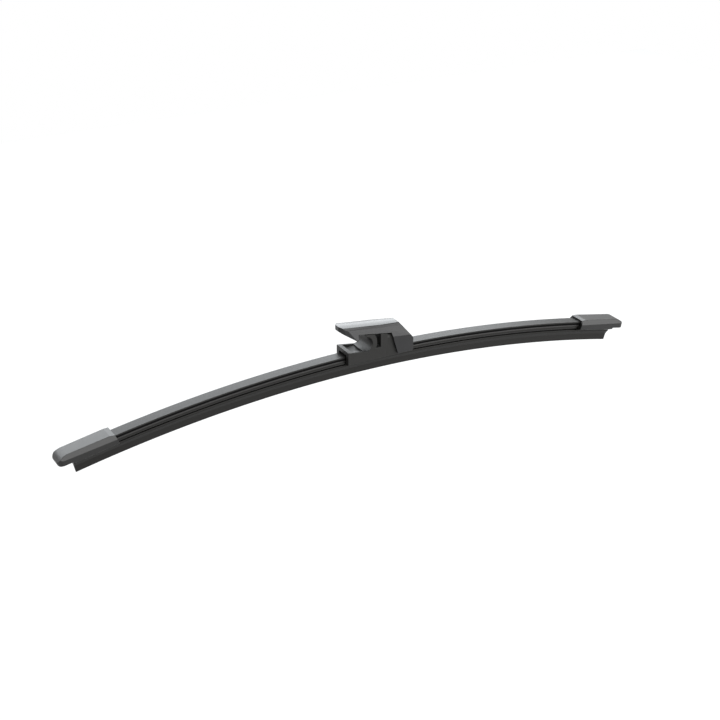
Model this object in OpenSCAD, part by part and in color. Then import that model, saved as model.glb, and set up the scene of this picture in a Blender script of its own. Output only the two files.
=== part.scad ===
// Flat rear wiper blade: an arched rubber stiffened by two spring-steel rails in its side
// grooves, a moulded cap on each end, and a two-piece snap connector for the wiper arm.
// Millimetres. The origin is the centre of the seat that takes the arm's pin. X runs along
// the blade, Y across it and Z up, away from the windscreen.

/* [Blade] */
// Length of the rubber along the arch
rubber_l = 329.6; // [250:0.1:420]
// Radius of the relaxed arch, at the top of the rubber
arch_r = 772; // [600:1:950]
// Distance along X from the arm's seat to the middle of the blade
mid_x = 1.6; // [-3:0.1:4]
// Running clearance between pieces that slide into each other
fit = 0.12; // [0.08:0.01:0.2]

/* [Rubber section] */
// Width of the head and of the bead below it
spine_w = 6.9; // [6.4:0.1:7.6]
// Thickness of the head above the rail grooves
head_t = 0.75; // [0.6:0.05:1]
// Web between the two rail grooves
web_w = 1.5; // [1.2:0.1:2]
// Height of the bead below the rail grooves
bead_h = 2.4; // [2:0.1:2.8]
// Height of the neck below the bead
neck_h = 1.1; // [1:0.05:1.4]
// Width of the neck
neck_w = 2; // [1.6:0.1:2.4]
// Width of the wiping body
body_w = 4.6; // [4:0.1:5.4]
// Height of the wiping body
body_h = 3.3; // [2.8:0.1:4]
// Height of the lip below the wiping body
lip_h = 3.7; // [3:0.05:4.5]
// Thickness of the lip at its wiping edge
lip_t = 0.7; // [0.5:0.05:1]

/* [Rails] */
// Thickness of the steel strip
rail_t = 0.85; // [0.7:0.05:1]
// How far the strip's edge lies inside the rubber's side
rail_inset = 0.2; // [0.1:0.05:0.4]
// How much the strips end short of the rubber at each end
rail_short = 3; // [1:0.5:5]
// Length of each latch notch in a strip's outer edge
notch_l = 4; // [3:0.5:6]
// Depth of a latch notch
notch_d = 0.9; // [0.6:0.1:1.2]

/* [End caps] */
// Length of a cap from its mouth to its tip
cap_l = 31.3; // [30:0.1:38]
// How far the rubber reaches into a cap
cap_grip = 23; // [18:0.1:25]
// Width over the cap's sides at its mouth
cap_w = 12.2; // [11:0.1:14]
// Width of the flat top facet
cap_top_w = 8.9; // [7.5:0.1:10]
// Height of the top facet above the rubber's head
cap_rise = 1.7; // [1.2:0.1:2.2]
// Drop of the sloping facet from the top facet to the side
cap_bevel = 1.85; // [1.2:0.05:2.4]
// How much the cap's half width narrows towards its tip
cap_taper = 0.6; // [0:0.1:1.2]
// Length of the ramp from the mouth up to the top facet
cap_ramp = 2.6; // [2:0.1:4]
// Rake of the mouth, forward at the foot, seen from the side
cap_rake = 12; // [0:1:30]

/* [Connector base] */
// Width of the base
base_w = 13.1; // [12.4:0.1:14]
// Distance from the arm's seat to the front end of the base
base_front = 10.4; // [9.5:0.1:12]
// Distance from the arm's seat to the end of the full-width part
base_rear = 12.4; // [11.8:0.1:13]
// How far that end leans towards the rear, from its foot to the cover's window
base_lean = 1.8; // [0:0.1:2.2]
// Distance from the arm's seat to the end of the tail inside the cover
tail_end = 26; // [23:0.1:27]
// Height of the tail's top above the arm's seat
tail_top = 2; // [0:0.1:2.4]
// Height of the seat's axis above the rubber's head
seat_h = 6; // [5.6:0.1:6.6]
// Diameter of the seat for the arm's pin
seat_d = 8.4; // [7.8:0.1:8.8]
// Wall of the C-shaped seat
seat_wall = 2.8; // [2.2:0.1:3]
// Distance from the seat's axis to the far side of the flex slot
slot_x = 9.1; // [8.6:0.1:9.4]
// Height of the front end's rim above the rubber's head
rim_h = 3.3; // [3:0.1:3.8]
// Thickness of the trough's side walls
rim_t = 1.15; // [0.9:0.05:1.5]
// How far the base's and the caps' sides reach below the rubber's head
skirt = 3.75; // [3.5:0.05:4]

/* [Connector cover] */
// Width over the cover's lower sides
cover_w = 13.4; // [13.1:0.1:14.2]
// Width of the raised panel on the roof
roof_w = 8.3; // [7.4:0.1:9]
// Angle at which each edge of the panel draws in towards the rear
roof_taper = 4.5; // [0:0.5:7]
// Height of the roof above the arm's seat, at the seat
roof_h = 9.8; // [9.4:0.1:10.6]
// Slope of the roof, down towards the rear
roof_slope = 6.5; // [6:0.5:9]
// Distance from the arm's seat to the tip of the beak
beak_l = 13.7; // [13:0.1:15]
// Thickness of the beak at its tip
beak_t = 2.8; // [2.2:0.1:3.2]
// Width of the beak where its nose begins to round
nose_w = 8.6; // [7.6:0.1:9.2]
// Angle of the slanted cut on each side of the beak, seen from above
beak_angle = 33; // [25:1:40]
// Distance from the arm's seat to the cover's rear face
cover_rear = 29; // [28.6:0.1:31]
// Wall of the cover
cover_wall = 1.35; // [1.1:0.05:1.6]

/* [Hidden] */

// Fine circles for the arch and for the seat
$fn = 128;

// Levels of the rubber's section, measured down from the top of its head
groove_h = rail_t + 0.1;
bead_top = head_t + groove_h;
bead_bottom = bead_top + bead_h;
body_top = bead_bottom + neck_h;
lip_top = body_top + body_h;
lip_bottom = lip_top + lip_h;
// Small chamfers and edge radii
edge_r = 0.45;
head_r = 0.2;
// Steps down the side of the wiping body
body_step = 0.5;
// The rails' outer and inner edges, measured from the middle plane
rail_y1 = spine_w / 2 - rail_inset;
rail_y0 = web_w / 2 + 0.05;
// Stations of the latch notches, measured along the arch from the middle
notch_s = rubber_l / 2 - rail_short - 9;
notches = [-notch_s, 0, notch_s];
// The claws that reach under the bead
claw_t = neck_h - 2 * fit - 0.1;
claw_bottom = bead_bottom + fit + claw_t;
claw_w = spine_w + 0.7;
// The top of a cap's ramp, its mouth, and the raised underside beyond the rubber's end
ramp_top = cap_rise - 0.25;
mouth_rise = cap_rise - 0.8;
mouth_gap = mouth_rise - 0.3;
mouth_depth = 2;
tip_skirt = skirt - 0.45;
// Seat and C-shaped ring
seat_r = seat_d / 2;
ring_r = seat_r + seat_wall;
lip_x = 0.3;
slot_floor = 0.85 - seat_r;
end_wall = 1.3;
// Where the beak's underside meets the window, and the window's corners
beak_root = [-0.7 * ring_r, seat_r - 1.3];
window_front = beak_root.x + 0.95;
window_top = ring_r - 2.35;
window_slope = roof_slope + 2;
window_rear_top = base_rear + 3.5;
window_rear_bottom = base_rear + 7.5;
window_gap = 0.2;
// Rib across the inside of the cover, just clear of the arm's pin
rib_t = 1;
rib_bottom = seat_r - 1;
// The cover's leg and rear face
leg_bottom = -(seat_h + skirt - 0.35);
rear_top = cover_rear - 8.1;
rear_foot = -2;
crease = 7;
shoulder_drop = 1.7;
shoulder_w = roof_w + 2;
// The roof panel's crown and the foot of its edge, below the ridge, and where its taper starts
crown = 0.35;
panel_foot = 0.8;
taper_x = 9;
taper_flare = 1.6;
// Snap studs that hold the cover on the tail
stud_x = tail_end - 4;
stud_z = -3.2;
stud_d = 2.6;
stud_out = 0.55;

// Corner i of an outline, rounded with its own radius, as a short arc of points
function corner_arc(a, b, c, r, steps) =
    let (u = (a - b) / norm(a - b), v = (c - b) / norm(c - b))
    let (half = acos(u * v) / 2, m = (u + v) / norm(u + v))
    let (centre = b + m * r / sin(half), p = b + u * r / tan(half) - centre)
    let (turn = 180 - 2 * half, side = sign(u.x * v.y - u.y * v.x))
    [for (k = [0:steps]) let (t = -side * turn * k / steps)
        centre + [p.x * cos(t) - p.y * sin(t), p.x * sin(t) + p.y * cos(t)]];

// Outline from corners [x, y, radius]; a radius of zero leaves the corner sharp
function outline(corners, steps = 6) =
    let (n = len(corners), at = function (i) [corners[i % n].x, corners[i % n].y])
    [for (i = [0:n - 1]) each
        corners[i].z > 0
            ? corner_arc(at(i + n - 1), at(i), at(i + 1), corners[i].z, steps)
            : [at(i)]];

// The same half outline on both sides of the middle plane; a corner on the plane is kept once
function both_sides(half) =
    concat(half, [for (i = [len(half) - 1:-1:0]) if (half[i].x > 0)
        [-half[i].x, half[i].y, half[i].z]]);

// Blade frame: the top of the rubber's head at the middle of the blade
module blade_frame() translate([mid_x, 0, -seat_h]) children();

// A section [depth below the head, across] swept along the arch from station s0 to s1
module along_arch(s0, s1) {
    turn = (s1 - s0) / arch_r * 180 / PI;
    blade_frame()
        translate([0, 0, -arch_r])
            rotate([90, 0, 0])
                rotate([0, 0, 90 - s1 / arch_r * 180 / PI])
                    rotate_extrude(angle = turn, $fn = 720)
                        translate([arch_r, 0]) children();
}

// Straight pieces set on the arch, with their own X along the tangent
module at_station(s)
    translate([0, 0, -arch_r]) rotate([0, s / arch_r * 180 / PI, 0]) translate([0, 0, arch_r])
        children();

// An outline in the XZ plane, extruded across the blade
module across(width)
    rotate([90, 0, 0]) translate([0, 0, -width / 2]) linear_extrude(width) children();

// An outline in the YZ plane, extruded along X from x0
module lengthwise(x0, length)
    translate([x0, 0, 0]) rotate([90, 0, 90]) linear_extrude(length) children();

// A rectangle of the rubber's section between two depths and two distances across
module band(top, bottom, y0, y1)
    translate([-bottom, y0]) square([bottom - top, y1 - y0]);

// Rubber: head, web, bead, neck, stepped wiping body and lip, cut from one extruded length
module wiper_rubber() {
    w = spine_w / 2;
    half = [
        [0, w, head_r], [-head_t, w, 0], [-head_t, web_w / 2, 0], [-bead_top, web_w / 2, 0],
        [-bead_top, w, edge_r], [-bead_bottom, w, edge_r], [-bead_bottom, neck_w / 2, 0.25],
        [-body_top, neck_w / 2, 0.25], [-body_top, body_w / 2, 0.3],
        [-body_top - body_h * 0.4, body_w / 2 - 0.15, 0.2],
        [-body_top - body_h * 0.4, body_w / 2 - body_step, 0],
        [-lip_top, lip_t, 0.6], [-lip_bottom, lip_t / 2, 0]];
    section = concat(half, [for (i = [len(half) - 1:-1:0]) [half[i].x, -half[i].y, half[i].z]]);
    color([0.2, 0.195, 0.19])
        along_arch(-rubber_l / 2, rubber_l / 2)
            polygon(outline(section, 4));
}

// Rails: flat spring-steel strips in the rubber's side grooves, notched for the latches
module rail(side) {
    end = rubber_l / 2 - rail_short;
    top = head_t + 0.05;
    color([0.16, 0.16, 0.17])
        difference() {
            along_arch(-end, end)
                band(top, top + rail_t, side > 0 ? rail_y0 : -rail_y1, side > 0 ? rail_y1 : -rail_y0);
            for (s = notches)
                along_arch(s - notch_l / 2, s + notch_l / 2)
                    band(top - 1, top + rail_t + 1,
                         side > 0 ? rail_y1 - notch_d : -rail_y1 - 1,
                         side > 0 ? rail_y1 + 1 : -rail_y1 + notch_d);
        }
}

// Rail on the near side, where Y is negative
module rail_front() rail(1);

// Rail on the far side
module rail_back() rail(-1);

// The way through a cap or the base for the rubber: a box for head and bead, a slot for the neck
module rubber_way(s0, s1)
    along_arch(s0, s1) {
        band(-fit, bead_bottom + fit, -spine_w / 2 - fit, spine_w / 2 + fit);
        band(bead_bottom, lip_bottom, -neck_w / 2 - 0.4, neck_w / 2 + 0.4);
    }

// Latch lugs that reach into the rails' notches
module latch_lugs(s)
    for (side = [-1, 1])
        along_arch(s - notch_l / 2 + 0.25, s + notch_l / 2 - 0.25)
            band(head_t + 0.15, bead_top - 0.15,
                 side > 0 ? rail_y1 - notch_d + 0.2 : -spine_w / 2 - fit - 0.5,
                 side > 0 ? spine_w / 2 + fit + 0.5 : -rail_y1 + notch_d - 0.2);

// Outer form of a cap in its own frame: X towards the tip, its zero at the mouth's middle
module cap_form() {
    w = cap_w / 2;
    tip_w = w - cap_taper;
    top = cap_top_w / 2;
    intersection() {
        // Seen from above: slightly tapered sides and a rounded tip
        translate([0, 0, -10])
            linear_extrude(20)
                polygon(outline([[-5, w, 0], [-5, -w, 0], [cap_l - 0.3, -tip_w, 3.6],
                                 [cap_l, 0, 20], [cap_l - 0.3, tip_w, 3.6]], 8));
        // Seen from the side: raked mouth, ramp, top facet that rolls down to the tip, raised end
        across(20)
            polygon(outline([[-(claw_bottom + mouth_rise) * tan(cap_rake), -claw_bottom, 0],
                             [0, mouth_rise, 0], [cap_ramp, ramp_top, 4],
                             [cap_l - 3.8, cap_rise, 7], [cap_l + 0.1, -1.4, 1.5],
                             [cap_l - 0.9, -tip_skirt, 1.2], [cap_grip + 0.2, -tip_skirt, 0.6],
                             [cap_grip - 1, -claw_bottom, 0]], 8));
        // Section: top facet, sloping facets, sides, and a chamfer below down to the claws
        lengthwise(-5, cap_l + 10)
            polygon(outline(both_sides([[top, cap_rise, 0.5], [w, cap_rise - cap_bevel, 0.5],
                                        [w, -skirt, 0.3], [claw_w / 2, -claw_bottom, 0]]), 4));
    }
}

// End cap, pushed over the rubber until its lugs latch the rails; the two are a mirrored pair
module end_cap(left) {
    mouth = rubber_l / 2 - cap_grip;
    color([0.23, 0.23, 0.235])
        translate([mid_x, 0, 0]) mirror([left ? 1 : 0, 0, 0]) translate([-mid_x, 0, 0]) {
            difference() {
                blade_frame()
                    at_station(rubber_l / 2 - cap_grip / 2)
                        translate([-cap_grip / 2, 0, 0]) cap_form();
                rubber_way(mouth - 4, rubber_l / 2 + 0.3);
                // Wider mouth, so that the edge stands clear of the rubber
                along_arch(mouth - 4, mouth + mouth_depth)
                    band(-mouth_gap, bead_bottom - 0.3, -spine_w / 2 - mouth_gap,
                         spine_w / 2 + mouth_gap);
            }
            latch_lugs(notch_s);
        }
}

module end_cap_left() end_cap(true);

module end_cap_right() end_cap(false);

// Half section of the cover below its roof: the panel's foot, the bevel, the leaning side and
// the straight side below the crease, grown inwards by a wall
function cover_flank(inset, flare) =
    let (low = cover_w / 2 - inset + flare)
    [[roof_w / 2 - inset, -panel_foot - inset, 0],
     [shoulder_w / 2 - inset, -shoulder_drop - inset, 0.6],
     [low, -crease - inset / 2, 2.5], [low, -25, 0]];

// Endless form of the cover along its sloping roof. Its crowned roof is a panel that stands
// proud of the bevels, and both flanks draw in towards the rear.
module cover_prism(inset) {
    roof = roof_w / 2 - inset;
    crowned = inset > 0 ? [[0, -inset, 0]] : [[0, 0, 30], [roof - 0.05, -crown, 0]];
    translate([0, 0, roof_h])
        rotate([0, roof_slope, 0])
            intersection() {
                lengthwise(-30, 80)
                    polygon(outline(both_sides(concat(crowned, cover_flank(inset, 0))), 5));
                tapered_flank(inset);
                mirror([0, 1, 0]) tapered_flank(inset);
            }
}

// The same flank turned in towards the rear; it cuts the prism only behind taper_x
module tapered_flank(inset)
    translate([taper_x, 0, 0])
        rotate([0, 0, -roof_taper])
            lengthwise(-60, 120)
                polygon(outline(concat([[-40, -25, 0], [-40, 5, 0], [roof_w / 2 - inset - 0.05, 5, 0]],
                                       cover_flank(inset, taper_flare)), 5));

// Height of the roof's ridge above the seat at a distance x from it
function roof_z(x) = roof_h - x * tan(roof_slope);

// Height of the window's upper edge at a distance x
function window_z(x) = window_top - (x - 6) * tan(window_slope);

// Side outline of the cover: beak, roof, sloping rear and vertical rear face
module cover_side(inset) {
    polygon(outline([[-beak_l, roof_z(-beak_l) + 1, 0], [rear_top - inset, roof_z(rear_top) + 1, 0],
                     [cover_rear - inset, rear_foot - inset * 0.4, inset > 0 ? 0 : 2],
                     [cover_rear - inset, leg_bottom - (inset > 0 ? 5 : 0), inset > 0 ? 0 : 0.5],
                     [-beak_l, leg_bottom - (inset > 0 ? 5 : 0), 0]], 6));
}

// Outline of the cover seen from above, with the beak's rounded nose in front
module cover_plan() {
    w = cover_w / 2 + 0.5;
    nose = nose_w / 2;
    polygon(outline([[-beak_l, -nose + 2.5, 1.2], [1.7 - beak_l, -nose, 2], [beak_root.x + 1, -w, 0],
                     [60, -w, 0], [60, w, 0], [beak_root.x + 1, w, 0],
                     [1.7 - beak_l, nose, 2], [-beak_l, nose - 2.5, 1.2]], 6));
}

// Cover: a glossy shell with a beak over the arm's end, open windows and a rear leg
module connector_cover() {
    tip_z = roof_z(-beak_l) - beak_t;
    color([0.3, 0.3, 0.305])
        difference() {
            intersection() {
                cover_prism(0);
                across(30) cover_side(0);
                translate([0, 0, -30]) linear_extrude(60) cover_plan();
            }
            // Slanted cuts that narrow the beak below its roof
            for (side = [-1, 1])
                translate([beak_root.x, side * cover_w / 2, beak_root.y])
                    rotate([0, -22, -side * (90 - beak_angle)])
                        translate([-40, -40, -40]) cube([40, 80, 80]);
            // Hollow inside, from the window's front edge to the rear wall
            intersection() {
                cover_prism(cover_wall);
                across(30)
                    intersection() {
                        cover_side(cover_wall);
                        translate([window_front + rib_t, -30]) square(60);
                    }
            }
            // Windows in both sides, open below, and the gap for the arm's end under the beak
            difference() {
                across(30)
                    polygon([[-beak_l - 5, tip_z], [-beak_l, tip_z], beak_root,
                             [window_front, beak_root.y], [window_front, window_z(window_front)],
                             [window_rear_top, window_z(window_rear_top)],
                             [window_rear_bottom, leg_bottom - 1], [-beak_l - 5, leg_bottom - 1]]);
                across(cover_w - 2 * cover_wall)
                    translate([window_front - 1, rib_bottom]) square([1 + rib_t, 10]);
            }
            // Way out for the rubber through the rear wall
            along_arch(0, cover_rear + 5)
                band(-0.4, lip_bottom, -spine_w / 2 - 0.4, spine_w / 2 + 0.4);
            // Blind holes for the snap studs
            translate([stud_x, 0, stud_z])
                rotate([90, 0, 0])
                    cylinder(d = stud_d + 2 * fit, h = cover_w - 2 * cover_wall + 2 * stud_out + 2 * fit,
                             center = true);
        }
}

// Side outline of the base: trough rim, C-shaped seat, flex slot and rear wall
module base_side() {
    front_rim = rim_h - seat_h;
    bottom = -seat_h - claw_bottom;
    wall_top = window_z(base_rear) + 3;
    difference() {
        union() {
            polygon([[-base_front, bottom], [base_rear - base_lean / 2, bottom],
                     [base_rear + base_lean / 2, 1], [base_rear + base_lean / 2, wall_top],
                     [slot_x, wall_top], [slot_x, slot_floor], [0, slot_floor],
                     [0, -seat_r], [-base_front, front_rim]]);
            difference() {
                circle(r = ring_r);
                translate([lip_x - 20, -seat_r]) square([20, 30]);
                translate([-20, -20]) square([20, 20 - seat_r + 0.01]);
            }
        }
        circle(r = seat_r);
    }
}

// Base: trough, C-shaped seat and claws in one moulding, slid onto the rubber before the caps
module connector_base() {
    w = base_w / 2;
    bottom = -seat_h - claw_bottom;
    full_end = base_rear + base_lean / 2 + 0.5;
    color([0.25, 0.25, 0.25]) {
        difference() {
            intersection() {
                // Straight sides, chamfered below down to the claws
                lengthwise(-base_front - 1, 60)
                    polygon([[-w, 20], [-w, -seat_h - skirt], [-claw_w / 2, bottom],
                             [claw_w / 2, bottom], [w, -seat_h - skirt], [w, 20]]);
                union() {
                    // Full-width part, narrowed where it reaches up inside the cover
                    intersection() {
                        across(base_w) base_side();
                        union() {
                            across(30)
                                polygon([[-20, -20], [full_end, -20],
                                         [full_end, window_z(full_end) - window_gap],
                                         [window_front, window_z(window_front) - window_gap],
                                         [-20, window_z(window_front)]]);
                            cover_prism(cover_wall + window_gap);
                        }
                    }
                    // Tail inside the cover
                    intersection() {
                        across(30)
                            polygon([[slot_x + 1, bottom], [tail_end, bottom],
                                     [tail_end, tail_top], [slot_x + 1, tail_top]]);
                        across(31) cover_side(cover_wall + window_gap + 0.1);
                        cover_prism(cover_wall + window_gap);
                    }
                }
            }
            // Trough between the side walls, level with the seat's lowest line
            translate([-base_front + end_wall, -w + rim_t, -seat_r])
                cube([base_front - end_wall, base_w - 2 * rim_t, seat_r]);
            // Way through for the rubber, with a raised mouth at the front
            rubber_way(-60, 60);
            translate([-base_front - 1, -spine_w / 2 - 0.6, -seat_h - 2])
                cube([3.4, spine_w + 1.2, 3]);
        }
        latch_lugs(0);
        // Studs that snap into the cover
        for (side = [-1, 1])
            translate([stud_x, side * (cover_w / 2 - cover_wall - 0.6), stud_z])
                rotate([90, 0, 0])
                    cylinder(d = stud_d, h = 1.2 + 2 * stud_out, center = true);
    }
}

wiper_rubber();
rail_front();
rail_back();
end_cap_left();
end_cap_right();
connector_base();
connector_cover();
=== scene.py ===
# Flat rear wiper blade on a pale floor: an arched rubber with two steel rails in its side
# grooves, a moulded cap on each end, and a two-piece snap connector for the wiper arm.
import math

import bmesh
import bpy
from mathutils import Matrix, Vector


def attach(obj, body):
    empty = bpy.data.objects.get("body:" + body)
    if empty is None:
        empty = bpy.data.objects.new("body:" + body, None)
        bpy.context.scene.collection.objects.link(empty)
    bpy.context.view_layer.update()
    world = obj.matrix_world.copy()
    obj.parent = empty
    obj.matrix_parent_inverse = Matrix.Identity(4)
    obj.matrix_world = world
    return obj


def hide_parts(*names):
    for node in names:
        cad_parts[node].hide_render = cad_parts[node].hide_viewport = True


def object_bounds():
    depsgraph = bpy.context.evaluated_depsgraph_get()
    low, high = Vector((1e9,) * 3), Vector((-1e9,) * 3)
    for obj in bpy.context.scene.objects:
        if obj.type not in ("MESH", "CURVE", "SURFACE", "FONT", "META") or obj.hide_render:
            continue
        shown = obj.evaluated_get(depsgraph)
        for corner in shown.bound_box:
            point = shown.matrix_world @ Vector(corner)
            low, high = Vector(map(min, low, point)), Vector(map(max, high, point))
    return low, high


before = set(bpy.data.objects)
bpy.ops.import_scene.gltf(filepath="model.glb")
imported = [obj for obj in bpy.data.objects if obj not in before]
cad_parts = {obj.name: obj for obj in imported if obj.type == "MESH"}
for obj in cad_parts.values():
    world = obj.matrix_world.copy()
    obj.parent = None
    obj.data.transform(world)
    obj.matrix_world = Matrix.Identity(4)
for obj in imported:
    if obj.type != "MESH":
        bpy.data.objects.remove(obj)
cad_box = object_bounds()

# Wiping rubber. One length of extruded black rubber, cut off square at both ends and relaxed to
# its arch. Its section is drawn corner by corner, and a Geometry Nodes tree rounds the corners,
# sweeps the section along the blade and bends it onto the arch.
mm = 0.001
rubber_length = 329.6 * mm
arch_radius = 772 * mm
blade_middle = Vector((1.6 * mm, 0, -6 * mm))
stations = 221
corner_steps = 3
sharp_turn = math.radians(50)

spine_half = 3.45 * mm
head_thickness = 0.75 * mm
groove_height = 0.95 * mm
web_half = 0.75 * mm
bead_height = 2.4 * mm
neck_height = 1.1 * mm
neck_half = 1 * mm
body_half = 2.3 * mm
body_height = 3.3 * mm
ledge_height = 0.4 * body_height
ledge_draft = 0.15 * mm
ledge_depth = 0.5 * mm
lip_height = 3.7 * mm
lip_half = 0.35 * mm

cut_edge = 0.06 * mm
head_round = 0.2 * mm
bead_round = 0.85 * mm
neck_round = 0.25 * mm
shoulder_round = 0.3 * mm
ledge_round = 0.2 * mm
lip_round = 0.6 * mm

bead_top = head_thickness + groove_height
bead_bottom = bead_top + bead_height
body_top = bead_bottom + neck_height
ledge_bottom = body_top + ledge_height
lip_top = body_top + body_height
lip_bottom = lip_top + lip_height
# Corners of half the section: depth below the head, distance from the middle, rounding
half_section = [
    (0, spine_half, head_round),
    (head_thickness, spine_half, cut_edge),
    (head_thickness, web_half, cut_edge),
    (bead_top, web_half, cut_edge),
    (bead_top, spine_half, bead_round),
    (bead_bottom, spine_half, bead_round),
    (bead_bottom, neck_half, neck_round),
    (body_top, neck_half, neck_round),
    (body_top, body_half, shoulder_round),
    (ledge_bottom, body_half - ledge_draft, ledge_round),
    (ledge_bottom, body_half - ledge_depth, cut_edge),
    (lip_top, 2 * lip_half, lip_round),
    (lip_bottom, lip_half, cut_edge),
]


class Link:
    """A socket in a node tree. Sums and products of links add Math nodes."""

    def __init__(self, tree, socket=None):
        self.tree = tree
        self.socket = socket

    def node(self, kind, settings=None, sockets=None, output=0):
        """Adds a node, sets it up, feeds its sockets and returns one of its outputs."""
        made = self.tree.nodes.new(kind)
        for name, value in (settings or {}).items():
            setattr(made, name, value)
        for name, value in (sockets or {}).items():
            if isinstance(value, Link):
                value.into(made.inputs[name])
            else:
                made.inputs[name].default_value = value
        return Link(self.tree, made.outputs[output])

    def math(self, operation, first, second=0.0):
        """Adds a Math node on two values, either of them a link or a number."""
        return self.node("ShaderNodeMath", {"operation": operation}, {0: first, 1: second})

    def into(self, socket):
        """Feeds another node's socket."""
        self.tree.links.new(self.socket, socket)

    def __add__(self, other):
        return self.math("ADD", self, other)

    def __radd__(self, other):
        return self.math("ADD", other, self)

    def __sub__(self, other):
        return self.math("SUBTRACT", self, other)

    def __rsub__(self, other):
        return self.math("SUBTRACT", other, self)

    def __mul__(self, other):
        return self.math("MULTIPLY", self, other)

    def __rmul__(self, other):
        return self.math("MULTIPLY", other, self)

    def __truediv__(self, other):
        return self.math("DIVIDE", self, other)

    def __rtruediv__(self, other):
        return self.math("DIVIDE", other, self)


def finish(name, roughness, specular):
    """A new material with its own gloss, its shader and an empty link in its tree."""
    material = bpy.data.materials.new(name)
    material.use_nodes = True
    shader = material.node_tree.nodes["Principled BSDF"]
    shader.inputs["Roughness"].default_value = roughness
    shader.inputs["Specular IOR Level"].default_value = specular
    return material, shader, Link(material.node_tree)


def blend_colours(tree, share, first, second):
    """A colour between two written ones."""
    return tree.node("ShaderNodeMix", {"data_type": "RGBA"},
                     {"Factor": share, "A": (*first, 1), "B": (*second, 1)}, "Result")


rubber, shader, tree = finish("Black extruded rubber", 0.42, 0.26)
place = tree.node("ShaderNodeTexCoord", output="Object")
along = tree.node("ShaderNodeAttribute", {"attribute_name": "along"}, output="Fac")
depth = tree.node("ShaderNodeAttribute", {"attribute_name": "depth"}, output="Fac")
across = tree.node("ShaderNodeSeparateXYZ", sockets={0: place}, output="Y")
# Streaks that the die leaves along the length, a fine matt bloom and broad faint clouds
streak_place = tree.node("ShaderNodeCombineXYZ", sockets={
    "X": along * 12, "Y": across * 2600, "Z": depth * 2600})
streaks = tree.node("ShaderNodeTexNoise", sockets={
    "Vector": streak_place, "Scale": 1.0, "Detail": 3.0, "Roughness": 0.6})
bloom = tree.node("ShaderNodeTexNoise", sockets={
    "Vector": place, "Scale": 900.0, "Detail": 4.0})
clouds = tree.node("ShaderNodeTexNoise", sockets={
    "Vector": place, "Scale": 45.0, "Detail": 2.0})
# The graphite coat on the wiping body scatters the light a little more than the bare head
coated = tree.node("ShaderNodeMapRange", {"clamp": True}, {
    "Value": depth, "From Min": bead_bottom, "From Max": body_top})
tone = streaks * 0.35 + bloom * 0.35 + clouds * 0.3
blend_colours(tree, tone, (0.0028, 0.0026, 0.0022), (0.0078, 0.0073, 0.0064)).into(
    shader.inputs["Base Color"])
(0.33 + bloom * 0.1 + coated * 0.07 + streaks * 0.06).into(shader.inputs["Roughness"])
tree.node("ShaderNodeBump", sockets={
    "Strength": 0.25, "Distance": 0.02 * mm, "Height": streaks * 0.7 + bloom * 0.3}).into(
    shader.inputs["Normal"])

sweep = bpy.data.node_groups.new("Section along the arch", "GeometryNodeTree")
socket_ids = {}
for name, kind in (("Section", "Geometry"), ("Length", "Float"), ("Arch radius", "Float"),
                   ("Stations", "Int"), ("Corner steps", "Int"), ("Finish", "Material")):
    socket = sweep.interface.new_socket(name, in_out="INPUT", socket_type="NodeSocket" + kind)
    socket_ids[name] = socket.identifier
sweep.interface.new_socket("Rubber", in_out="OUTPUT", socket_type="NodeSocketGeometry")
tree = Link(sweep)
group_input = sweep.nodes.new("NodeGroupInput")
given = {name: Link(sweep, group_input.outputs[name]) for name in socket_ids}

section = tree.node("GeometryNodeFilletCurve", {"mode": "POLY"}, {
    "Curve": tree.node("GeometryNodeMeshToCurve", sockets={"Mesh": given["Section"]}),
    "Count": given["Corner steps"],
    "Radius": tree.node("GeometryNodeInputNamedAttribute", {"data_type": "FLOAT"},
                        {"Name": "corner_radius"}),
    "Limit Radius": True})
line = tree.node("GeometryNodeCurvePrimitiveLine", sockets={
    "Start": tree.node("ShaderNodeCombineXYZ", sockets={"X": given["Length"] * -0.5}),
    "End": tree.node("ShaderNodeCombineXYZ", sockets={"X": given["Length"] * 0.5})})
line = tree.node("GeometryNodeResampleCurve", sockets={
    "Curve": line, "Count": given["Stations"]})
straight = tree.node("GeometryNodeCurveToMesh", sockets={
    "Curve": line, "Profile Curve": section, "Fill Caps": True})
place = tree.node("GeometryNodeInputPosition")
station, side, height = (tree.node("ShaderNodeSeparateXYZ", sockets={0: place}, output=axis)
                         for axis in "XYZ")
for name, value in (("along", station), ("depth", height * -1)):
    straight = tree.node("GeometryNodeStoreNamedAttribute", {"data_type": "FLOAT"}, {
        "Geometry": straight, "Name": name, "Value": value})
turn = station / given["Arch radius"]
reach = given["Arch radius"] + height
bent = tree.node("GeometryNodeSetPosition", sockets={
    "Geometry": straight,
    "Position": tree.node("ShaderNodeCombineXYZ", sockets={
        "X": reach * tree.math("SINE", turn) + blade_middle.x,
        "Y": side,
        "Z": reach * tree.math("COSINE", turn) - given["Arch radius"] + blade_middle.z})})
bent = tree.node("GeometryNodeSetShadeSmooth", {"domain": "FACE"}, {
    "Geometry": bent, "Shade Smooth": True})
gentle = tree.node("FunctionNodeCompare", {"operation": "LESS_THAN"}, {
    0: tree.node("GeometryNodeInputMeshEdgeAngle"), 1: sharp_turn})
bent = tree.node("GeometryNodeSetShadeSmooth", {"domain": "EDGE"}, {
    "Geometry": bent, "Shade Smooth": gentle})
bent = tree.node("GeometryNodeRealizeInstances", sockets={"Geometry": bent})
bent = tree.node("GeometryNodeSetMaterial", sockets={
    "Geometry": bent, "Material": given["Finish"]})
bent.into(sweep.nodes.new("NodeGroupOutput").inputs["Rubber"])

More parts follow.
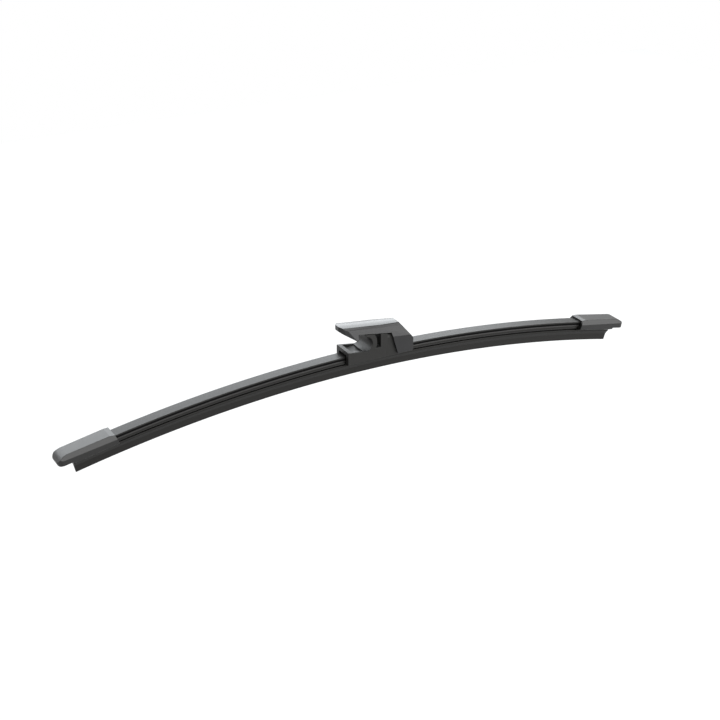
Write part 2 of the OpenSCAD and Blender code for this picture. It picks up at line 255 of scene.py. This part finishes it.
# The sweep turns the section over, so depth counts upwards here
outline = [(half, deep, rounding) for deep, half, rounding in half_section]
outline += [(-half, deep, rounding) for half, deep, rounding in reversed(outline)]
outline_mesh = bpy.data.meshes.new("rubber_section")
outline_mesh.from_pydata([(half, deep, 0) for half, deep, _ in outline],
                         [(i, (i + 1) % len(outline)) for i in range(len(outline))], [])
corner_radius = outline_mesh.attributes.new("corner_radius", "FLOAT", "POINT")
corner_radius.data.foreach_set("value", [rounding for _, _, rounding in outline])
blank = bpy.data.objects.new("rubber_section", outline_mesh)
bpy.context.scene.collection.objects.link(blank)
extrusion = blank.modifiers.new("Extrusion", "NODES")
extrusion.node_group = sweep
for name, value in (("Length", rubber_length), ("Arch radius", arch_radius),
                    ("Stations", stations), ("Corner steps", corner_steps), ("Finish", rubber)):
    extrusion[socket_ids[name]] = value


def flat_faces(source):
    """Broad faces keep their own direction, so that only the rounded edges turn the light."""
    weights = source.modifiers.new("Flat faces", "WEIGHTED_NORMAL")
    weights.weight = 50
    weights.keep_sharp = True


def settled(source, name):
    """The plain mesh that an object's modifiers give, as a new piece in place of the object."""
    ready = source.evaluated_get(bpy.context.evaluated_depsgraph_get())
    mesh = bpy.data.meshes.new_from_object(ready)
    bpy.data.objects.remove(source)
    mesh.name = name
    piece = bpy.data.objects.new(name, mesh)
    bpy.context.scene.collection.objects.link(piece)
    return piece


flat_faces(blank)
blade = settled(blank, "wiping_rubber")
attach(blade, "root")
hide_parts("wiper_rubber")

# Rails. Two flat strips of spring steel, black coated against rust, pushed into the grooves
# below the rubber's head. Only their dark edges show. Their colour is darker than the real coat,
# nearly pure black with almost no gloss: painted shade for the shadow in the grooves.
rail_coat_and_groove_shade, shader, tree = finish("Black coated spring steel with painted groove shade", 0.6, 0.03)
grain = tree.node("ShaderNodeTexNoise", sockets={
    "Vector": tree.node("ShaderNodeTexCoord", output="Object"), "Scale": 1500.0, "Detail": 3.0})
# Near-black colour: the real black coat, darkened further as painted shade for the grooves
blend_colours(tree, grain, (0.002, 0.002, 0.0021), (0.005, 0.005, 0.0053)).into(
    shader.inputs["Base Color"])
(0.5 + grain * 0.2).into(shader.inputs["Roughness"])


def coat(piece, material):
    """Gives a piece its only material."""
    piece.data.materials.clear()
    piece.data.materials.append(material)


for node in ("rail_front", "rail_back"):
    coat(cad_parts[node], rail_coat_and_groove_shade)

# Connector base. One moulding in satin black plastic: a trough with a ledge at its front and a
# pocket in its floor, a C-shaped seat with a flex slot behind it, and claws that hold the
# rubber's bead. The mould leaves its edges eased.
base_easing = 0.18 * mm
merge_gap = 0.03 * mm
flat_turn = math.radians(0.4)
sheen_spread = 0.06

trough_length = 10.4 * mm
trough_front = -9.1 * mm
trough_floor = -4.2 * mm
rim_rise = 1.5 * mm
ledge_width = 1.5 * mm
wall_foot = 0.5 * mm
pocket_end = -0.8 * mm
pocket_depth = 0.3 * mm
pocket_fall = 1.05 * mm
# How closely a face or a corner has to lie on the floor or the front wall to belong to it
level = 0.99
hair = 0.01 * mm


def eased_copy(node, name, width, eased_from, crisp_from, reshape):
    """A merged copy of a CAD node, reshaped and with rounded edges, which stands for the node.

    Edges that turn by more than eased_from degrees are rounded. Edges between crisp_from and
    eased_from stay crisp, and gentler ones are shaded smoothly.
    """
    form = bmesh.new()
    form.from_mesh(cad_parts[node].data)
    bmesh.ops.remove_doubles(form, verts=form.verts, dist=merge_gap)
    bmesh.ops.dissolve_limit(form, angle_limit=flat_turn, verts=form.verts, edges=form.edges)
    reshape(form)
    for face in form.faces:
        face.smooth = True
    for edge in form.edges:
        turn = edge.calc_face_angle(0)
        edge.smooth = not math.radians(crisp_from) < turn < math.radians(eased_from)
    mesh = bpy.data.meshes.new(name)
    form.to_mesh(mesh)
    form.free()
    source = bpy.data.objects.new(name + "_form", mesh)
    bpy.context.scene.collection.objects.link(source)
    easing = source.modifiers.new("Eased edges", "BEVEL")
    easing.width = width
    easing.segments = 2
    easing.limit_method = "ANGLE"
    easing.angle_limit = math.radians(eased_from)
    easing.use_clamp_overlap = False
    flat_faces(source)
    piece = settled(source, name)
    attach(piece, "root")
    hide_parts(node)
    return piece


def moulded(name, dark, light, roughness, specular, grain_scale, grain_depth):
    """A black plastic with a moulded grain, faint flow clouds and a matching sheen."""
    material, shader, tree = finish(name, roughness, specular)
    place = tree.node("ShaderNodeTexCoord", output="Object")
    grain = tree.node("ShaderNodeTexNoise", sockets={
        "Vector": place, "Scale": grain_scale, "Detail": 3.0, "Roughness": 0.55})
    flow = tree.node("ShaderNodeTexNoise", sockets={
        "Vector": place, "Scale": 160.0, "Detail": 2.0, "Distortion": 0.6})
    blend_colours(tree, grain * 0.5 + flow * 0.5, dark, light).into(shader.inputs["Base Color"])
    (roughness - sheen_spread + grain * sheen_spread + flow * sheen_spread).into(
        shader.inputs["Roughness"])
    tree.node("ShaderNodeBump", sockets={
        "Strength": 0.3, "Distance": grain_depth, "Height": grain}).into(
        shader.inputs["Normal"])
    return material


def trough_bottom(form, rear):
    """The faces of the trough's floor between its front wall and a place further back."""
    found = []
    for face in form.faces:
        middle = face.calc_center_median()
        if (face.normal.z > level and abs(middle.z - trough_floor) < hair
                and trough_front < middle.x < rear):
            found.append(face)
    return found


def cut_across(form, faces, point, direction):
    """Splits some faces along a plane and returns the corners that lie on it."""
    edges = [edge for face in faces for edge in face.edges]
    corners = [corner for face in faces for corner in face.verts]
    cut = bmesh.ops.bisect_plane(form, geom=list(dict.fromkeys(faces + edges + corners)),
                                 plane_co=point, plane_no=direction)
    return [item for item in cut["geom_cut"] if isinstance(item, bmesh.types.BMVert)]


def deeper_trough(form):
    """The ledge behind the front wall, and the pocket in the floor between it and the seat."""
    for corner in form.verts:
        if abs(corner.co.x - trough_front) < hair and corner.co.z > trough_floor - hair:
            if corner.co.z > trough_floor + wall_foot:
                corner.co.z -= ledge_width * rim_rise / trough_length
            corner.co.x += ledge_width
    cut_across(form, trough_bottom(form, 0), (pocket_end, 0, 0), (1, 0, 0))
    lid = trough_bottom(form, pocket_end)
    made = bmesh.ops.extrude_face_region(form, geom=lid)["geom"]
    bmesh.ops.translate(form, vec=(0, 0, -pocket_depth),
                        verts=[item for item in made if isinstance(item, bmesh.types.BMVert)])
    bmesh.ops.delete(form, geom=[face for face in lid if face.is_valid], context="FACES")
    bottom = [item for item in made if isinstance(item, bmesh.types.BMFace)]
    middle_line = cut_across(form, bottom, (0, 0, 0), (0, 1, 0))
    bmesh.ops.translate(form, vec=(0, 0, -pocket_fall), verts=middle_line)


base_plastic = moulded(
    "Satin black base plastic", dark=(0.008, 0.0078, 0.0074), light=(0.018, 0.0175, 0.0165),
    roughness=0.46, specular=0.26, grain_scale=2600.0, grain_depth=0.01 * mm)
base = eased_copy("connector_base", "connector_seat", width=base_easing, eased_from=40,
                  crisp_from=40, reshape=deeper_trough)
coat(base, base_plastic)

# Connector cover. A smooth black plastic shell clipped over the base, with a beak over the arm's
# end, open windows beside the seat, a leg behind it and a rib across its inside.
cover_easing = 0.11 * mm
rib_face = -2.97 * mm
rib_foot = 3.2 * mm
rib_growth = 0.2 * mm
rib_lean = 0.16


def leaning_rib(form):
    """The rib's rear face moves back and leans, so that no light shows between it and the seat."""
    for corner in form.verts:
        if abs(corner.co.x - rib_face) < 2 * hair:
            corner.co.x += rib_growth + rib_lean * (corner.co.z - rib_foot)


cover_plastic = moulded(
    "Smooth black cover plastic", dark=(0.018, 0.018, 0.019), light=(0.028, 0.028, 0.029),
    roughness=0.17, specular=0.27, grain_scale=1200.0, grain_depth=0.004 * mm)
cover = eased_copy("connector_cover", "connector_shell", width=cover_easing, eased_from=40,
                   crisp_from=20, reshape=leaning_rib)
coat(cover, cover_plastic)

# End caps. A mirrored pair of mouldings in grained satin plastic, pushed over the rubber's ends
# until their lugs latch the rails. The tops are plain, with a slanting facet down either side.
cap_easing = 0.15 * mm
facet_drop = 0.9 * mm
facet_bite = 0.1 * mm
cut_gap = 0.001 * mm
# How far up the tops and the slanting facets face, and how far sideways, on a unit normal
top_upward = 0.95
slant_upward = (0.5, 0.8)
slant_sideways = 0.6


def facet_planes(form):
    """For each top edge of a slanting facet: its length, and a plane that makes the facet wider."""
    planes = []
    for edge in form.edges:
        slant, top = sorted(edge.link_faces, key=lambda face: face.normal.z)
        leaning = slant_upward[0] < slant.normal.z < slant_upward[1]
        if top.normal.z > top_upward and leaning and abs(slant.normal.y) > slant_sideways:
            start = edge.verts[0].co
            along = edge.verts[1].co - start
            down = slant.normal.cross(along).normalized()
            down = down if down.z < 0 else -down
            fall = down * max((corner.co - start).dot(down) for corner in slant.verts)
            normal = (fall - Vector((0, 0, facet_drop))).cross(along)
            normal = normal if normal.z > 0 else -normal
            normal.normalize()
            planes.append((edge.calc_length(), start - normal * facet_bite, normal))
    return planes


def deeper_facets(form):
    """The slanting facets are cut anew by a plane each, so that they reach further down."""
    planes = facet_planes(form)
    for side in (-1, 1):
        _, point, normal = max((plane for plane in planes if plane[2].y * side > 0),
                               key=lambda plane: plane[0])
        bmesh.ops.bisect_plane(form, geom=form.verts[:] + form.edges[:] + form.faces[:],
                               dist=cut_gap, plane_co=point, plane_no=normal, clear_outer=True)
        bmesh.ops.holes_fill(form, edges=[edge for edge in form.edges if edge.is_boundary])
    bmesh.ops.remove_doubles(form, verts=form.verts, dist=2 * cut_gap)
    bmesh.ops.dissolve_limit(form, angle_limit=flat_turn, verts=form.verts, edges=form.edges)
    form.normal_update()


cap_plastic = moulded(
    "Grained black cap plastic", dark=(0.004, 0.0039, 0.0037), light=(0.0095, 0.0093, 0.0089),
    roughness=0.37, specular=0.43, grain_scale=2200.0, grain_depth=0.014 * mm)
for node, name in (("end_cap_left", "left_cap"), ("end_cap_right", "right_cap")):
    cap = eased_copy(node, name, width=cap_easing, eased_from=24, crisp_from=24,
                     reshape=deeper_facets)
    coat(cap, cap_plastic)

# Studio. A pale floor some way below the blade and a white surround. A long softbox behind,
# slightly cool, is what the roof and the tops of the caps mirror, and a large low one in front
# lights the near sides.
floor_drop = 0.16
floor_half = 1.05
floor_tone = 0.3
floor_glow = 0.7
surround_level = 0.28


def seen_directly(tree):
    """One for camera, glossy and transmission rays, and nought for the light on the object."""
    rays = [tree.node("ShaderNodeLightPath", output=name)
            for name in ("Is Camera Ray", "Is Glossy Ray", "Is Transmission Ray")]
    return tree.math("MINIMUM", rays[0] + rays[1] + rays[2], 1.0)


floor_level = cad_box[0][2] - floor_drop
floor_mesh = bpy.data.meshes.new("studio_floor")
floor_mesh.from_pydata([(x * floor_half, y * floor_half, floor_level)
                        for x, y in ((-1, -1), (1, -1), (1, 1), (-1, 1))], [], [(0, 1, 2, 3)])
floor = bpy.data.objects.new("studio_floor", floor_mesh)
bpy.context.scene.collection.objects.link(floor)
floor_paint = bpy.data.materials.new("Pale floor")
floor_paint.use_nodes = True
floor_nodes = floor_paint.node_tree.nodes
floor_nodes.clear()
tree = Link(floor_paint.node_tree)
matt = tree.node("ShaderNodeBsdfDiffuse", sockets={
    "Color": (floor_tone, floor_tone, floor_tone, 1)})
glow = tree.node("ShaderNodeEmission", sockets={
    "Color": (1, 1, 1, 1), "Strength": seen_directly(tree) * floor_glow})
tree.node("ShaderNodeAddShader", sockets={0: matt, 1: glow}).into(
    floor_nodes.new("ShaderNodeOutputMaterial").inputs["Surface"])
coat(floor, floor_paint)

world = bpy.data.worlds.new("White surround")
bpy.context.scene.world = world
world.use_nodes = True
tree = Link(world.node_tree)
background = world.node_tree.nodes["Background"]
background.inputs["Color"].default_value = (1, 1, 1, 1)
(surround_level + seen_directly(tree) * (1 - surround_level)).into(
    background.inputs["Strength"])

for name, place, size, power, tint in (
        ("Back softbox", (0.1, 1.12, 0.57), (1.9, 0.72), 19.5, (0.93, 0.97, 1.0)),
        ("Front softbox", (0.47, -0.95, 0.55), (2.0, 1.3), 29.0, (1.0, 1.0, 1.0))):
    lamp = bpy.data.lights.new(name, "AREA")
    lamp.shape = "RECTANGLE"
    lamp.size, lamp.size_y = size
    lamp.energy = power
    lamp.color = tint
    holder = bpy.data.objects.new(name, lamp)
    holder.location = place
    holder.rotation_euler = (-Vector(place)).to_track_quat("-Z", "Y").to_euler()
    holder.visible_camera = False
    bpy.context.scene.collection.objects.link(holder)

# Camera. Above and to the left of the blade, with a long lens.
camera_place = Vector((-0.3522, -0.6330, 0.3328))
azimuth, elevation = math.radians(-29.103), math.radians(25.424)
camera_data = bpy.data.cameras.new("Photograph")
camera_data.lens = 75.65
camera_data.sensor_width = 36
back = Vector((math.sin(azimuth) * math.cos(elevation), -math.cos(azimuth) * math.cos(elevation),
               math.sin(elevation)))
right = Vector((math.cos(azimuth), math.sin(azimuth), 0))
turned = Matrix((right, back.cross(right), back)).transposed().to_4x4()
camera = bpy.data.objects.new("Photograph", camera_data)
camera.matrix_world = Matrix.Translation(camera_place) @ turned
bpy.context.scene.collection.objects.link(camera)
bpy.context.scene.camera = camera
bpy.context.scene.view_settings.view_transform = "Standard"
